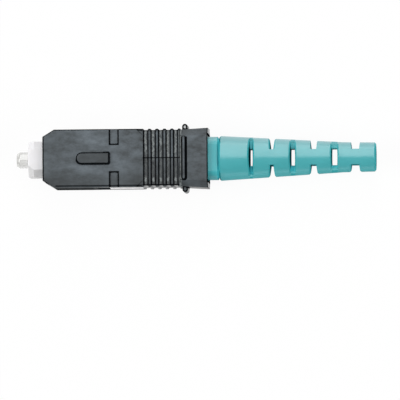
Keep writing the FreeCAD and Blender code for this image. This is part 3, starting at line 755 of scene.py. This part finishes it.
class SetStage(bpy.types.Operator):
    """Lay the pale floor, hang the lamps and place the camera"""
    bl_idname = "connector.set_stage"
    bl_label = "Set stage"

    def execute(self, context):
        look = context.scene.connector_stage
        lay_floor(look)
        light_world(context.scene, look)
        for name, (place, size) in LAMPS.items():
            hang_lamp(f"{name}_lamp", place, size, getattr(look, name))
        context.scene.camera = place_camera(look)
        context.scene.view_settings.view_transform = "Standard"
        return {"FINISHED"}


def seen_directly(finish):
    """1 for rays that come straight from the camera, a gloss or a clear surface."""
    rays = [finish.node("LightPath", {}, {}, name)
            for name in ("Is Camera Ray", "Is Glossy Ray", "Is Transmission Ray")]
    return (rays[0] + rays[1] + rays[2]).math("MINIMUM", 1.0)


def lay_floor(look):
    """A wide floor that looks white and keeps a part of the shadow."""
    finish = Finish("pale_floor")
    tree = finish.tree
    cloud = finish.noise(finish.place(), 3.0)
    tint = finish.mix(cloud, look.floor, tuple(0.985 * part for part in look.floor))
    finish.shade(Base_Color=tint, Roughness=0.9, Specular_IOR_Level=0.0)
    white = finish.node("Emission", {}, {"Color": (1.0, 1.0, 1.0), "Strength": 1.0})
    surface = Wire(finish, finish.shader.outputs[0])
    factor = seen_directly(finish) * (1.0 - look.shadow)
    both = finish.node("MixShader", {}, {0: factor, 1: surface, 2: white})
    tree.links.new(both.socket, tree.nodes["Material Output"].inputs["Surface"])
    mesh = bpy.data.meshes.new("floor")
    shape = bmesh.new()
    bmesh.ops.create_grid(shape, x_segments=8, y_segments=8, size=FLOOR_HALF)
    bmesh.ops.translate(shape, vec=(0.0, 0.0, -FLOOR_GAP), verts=shape.verts)
    shape.to_mesh(mesh)
    shape.free()
    mesh.materials.append(finish.material)
    floor = bpy.data.objects.new("floor", mesh)
    bpy.context.scene.collection.objects.link(floor)


def light_world(scene, look):
    """Even light from all sides."""
    world = bpy.data.worlds.new("studio")
    world.use_nodes = True
    light = world.node_tree.nodes["Background"]
    light.inputs["Color"].default_value = (1.0, 1.0, 1.0, 1.0)
    light.inputs["Strength"].default_value = look.fill
    scene.world = world


def hang_lamp(name, place, size, brightness):
    """A large soft lamp turned to the connector, its second size upright."""
    lamp = bpy.data.lights.new(name, "AREA")
    lamp.shape = "RECTANGLE"
    lamp.size, lamp.size_y = size
    lamp.energy = brightness * pi * size[0] * size[1]
    holder = bpy.data.objects.new(name, lamp)
    holder.location = place
    holder.rotation_mode = "QUATERNION"
    holder.rotation_quaternion = (-place).to_track_quat("-Z", "Y")
    bpy.context.scene.collection.objects.link(holder)


def place_camera(look):
    """A long lens above the broad face, a little to the boot's end and to one side."""
    back = Vector((tan(LEAN_TO_BOOT), -tan(LEAN_TO_SIDE), 1.0)).normalized()
    right = Vector((0.0, 1.0, 0.0)).cross(back).normalized()
    up = back.cross(right)
    turn = Matrix((right, up, back)).transposed().to_4x4() @ Matrix.Rotation(CAMERA_ROLL, 4, "Z")
    lens = bpy.data.cameras.new("camera")
    lens.sensor_width = 36.0
    lens.lens = lens.sensor_width * look.distance / CAMERA_FIELD
    lens.clip_start = 0.05
    camera = bpy.data.objects.new("camera", lens)
    camera.matrix_world = Matrix.Translation(CAMERA_TARGET + back * look.distance) @ turn
    bpy.context.scene.collection.objects.link(camera)
    return camera


class ConnectorPanel(bpy.types.Panel):
    """Lists the steps that dress the connector and set its stage"""
    bl_idname = "VIEW3D_PT_connector"
    bl_label = "Fibre connector"
    bl_space_type = "VIEW_3D"
    bl_region_type = "UI"
    bl_category = "Connector"

    def draw(self, context):
        for step in STEPS:
            self.layout.operator(step.bl_idname)
        for name, kind in LOOKS.items():
            box = self.layout.box()
            for prop in kind.__annotations__:
                box.prop(getattr(context.scene, name), prop)


STEPS = (FinishHousing, FinishFrame, FinishFerrule, FinishBoot, FinishInside, MakeSpring, SetStage)
CLASSES = (*LOOKS.values(), *STEPS, ConnectorPanel)


def register():
    for kind in CLASSES:
        bpy.utils.register_class(kind)
    for name, kind in LOOKS.items():
        setattr(bpy.types.Scene, name, PointerProperty(type=kind))


def unregister():
    for name in LOOKS:
        delattr(bpy.types.Scene, name)
    for kind in reversed(CLASSES):
        bpy.utils.unregister_class(kind)


def main():
    register()
    for step in STEPS:
        group, name = step.bl_idname.split(".")
        getattr(getattr(bpy.ops, group), name)()


if __name__ == "__main__":
    main()
